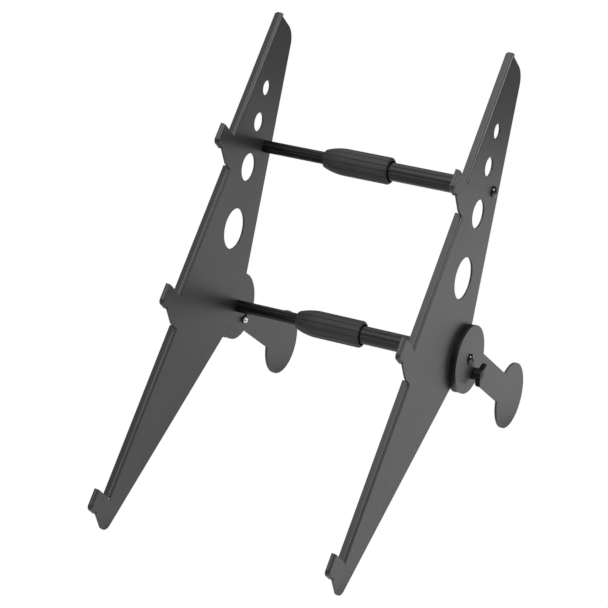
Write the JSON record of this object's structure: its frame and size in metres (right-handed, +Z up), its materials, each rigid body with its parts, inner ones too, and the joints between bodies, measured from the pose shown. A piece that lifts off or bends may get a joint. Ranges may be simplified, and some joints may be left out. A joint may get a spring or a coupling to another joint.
{
  "type": "three-tier desktop gear stand",
  "caption": "Sloping three-tier desktop stand of two bent sheet side plates, joined by telescopic twist-lock bars, on swinging rear legs with wing screws.",
  "frame": {"origin": "centre of the bounding box on the surface that the stand rests on", "axes": "+Z up, +X across from the left side plate to the right one, +Y from the front ears back to the legs"},
  "size_m": [0.2974, 0.4432, 0.4216],
  "materials": {
    "plate_coat": "satin powder coat, charcoal black",
    "tube_coat": "semi-gloss black paint",
    "grip": "matte black moulded grip",
    "spacer": "matte black plastic disc",
    "black_screw": "black oxide steel",
    "knob": "matte black moulded knob",
    "zinc": "bright zinc plate",
    "plug": "plain turned aluminium",
    "collet": "dark grey nylon"
  },
  "bodies": {
    "right_side": {"right_side_plate": "plate_coat", "upper_outer_tube": "tube_coat", "lower_outer_tube": "tube_coat", "upper_outer_plug": "plug", "lower_outer_plug": "plug", "upper_collet": "collet", "lower_collet": "collet", "upper_ferrule": "plug", "lower_ferrule": "plug", "right_bar_bolt": "black_screw", "right_pivot_screw": "black_screw"},
    "left_side": {"left_side_plate": "plate_coat", "upper_inner_tube": "tube_coat", "lower_inner_tube": "tube_coat", "upper_inner_plug": "plug", "lower_inner_plug": "plug", "upper_guide_bush": "collet", "lower_guide_bush": "collet", "left_bar_bolt": "black_screw", "left_pivot_screw": "black_screw"},
    "upper_grip": {"upper_twist_grip": "grip"},
    "lower_grip": {"lower_twist_grip": "grip"},
    "left_leg": {"left_leg": "plate_coat", "left_spacer_disc": "spacer", "left_lock_nut": "black_screw"},
    "right_leg": {"right_leg": "plate_coat", "right_spacer_disc": "spacer", "right_lock_nut": "black_screw"},
    "left_wing_screw": {"left_wing_knob": "knob", "left_lock_stud": "zinc"},
    "right_wing_screw": {"right_wing_knob": "knob", "right_lock_stud": "zinc"}
  },
  "joints": [
    {"name": "width_slide", "type": "slide", "parent": "right_side", "child": "left_side", "axis": [-1, 0, 0], "range_m": [-0.06, 0.05]},
    {"name": "upper_grip_turn", "type": "hinge", "parent": "right_side", "child": "upper_grip", "pos_m": [0, 0.13784, 0.2872], "axis": [-1, 0, 0], "range_deg": [0, 120]},
    {"name": "lower_grip_turn", "type": "hinge", "parent": "right_side", "child": "lower_grip", "pos_m": [0, 0.07638, 0.12803], "axis": [-1, 0, 0], "range_deg": [0, 120]},
    {"name": "left_leg_swing", "type": "hinge", "parent": "left_side", "child": "left_leg", "pos_m": [0, 0.07638, 0.12803], "axis": [1, 0, 0], "range_deg": [0, 40]},
    {"name": "right_leg_swing", "type": "hinge", "parent": "right_side", "child": "right_leg", "pos_m": [0, 0.07638, 0.12803], "axis": [1, 0, 0], "range_deg": [0, 40]},
    {"name": "left_wing_turn", "type": "hinge", "parent": "left_leg", "child": "left_wing_screw", "pos_m": [0, 0.08712, 0.10736], "axis": [-1, 0, 0], "range_deg": [0, 360]},
    {"name": "right_wing_turn", "type": "hinge", "parent": "right_leg", "child": "right_wing_screw", "pos_m": [0, 0.08712, 0.10736], "axis": [1, 0, 0], "range_deg": [0, 360]}
  ]
}
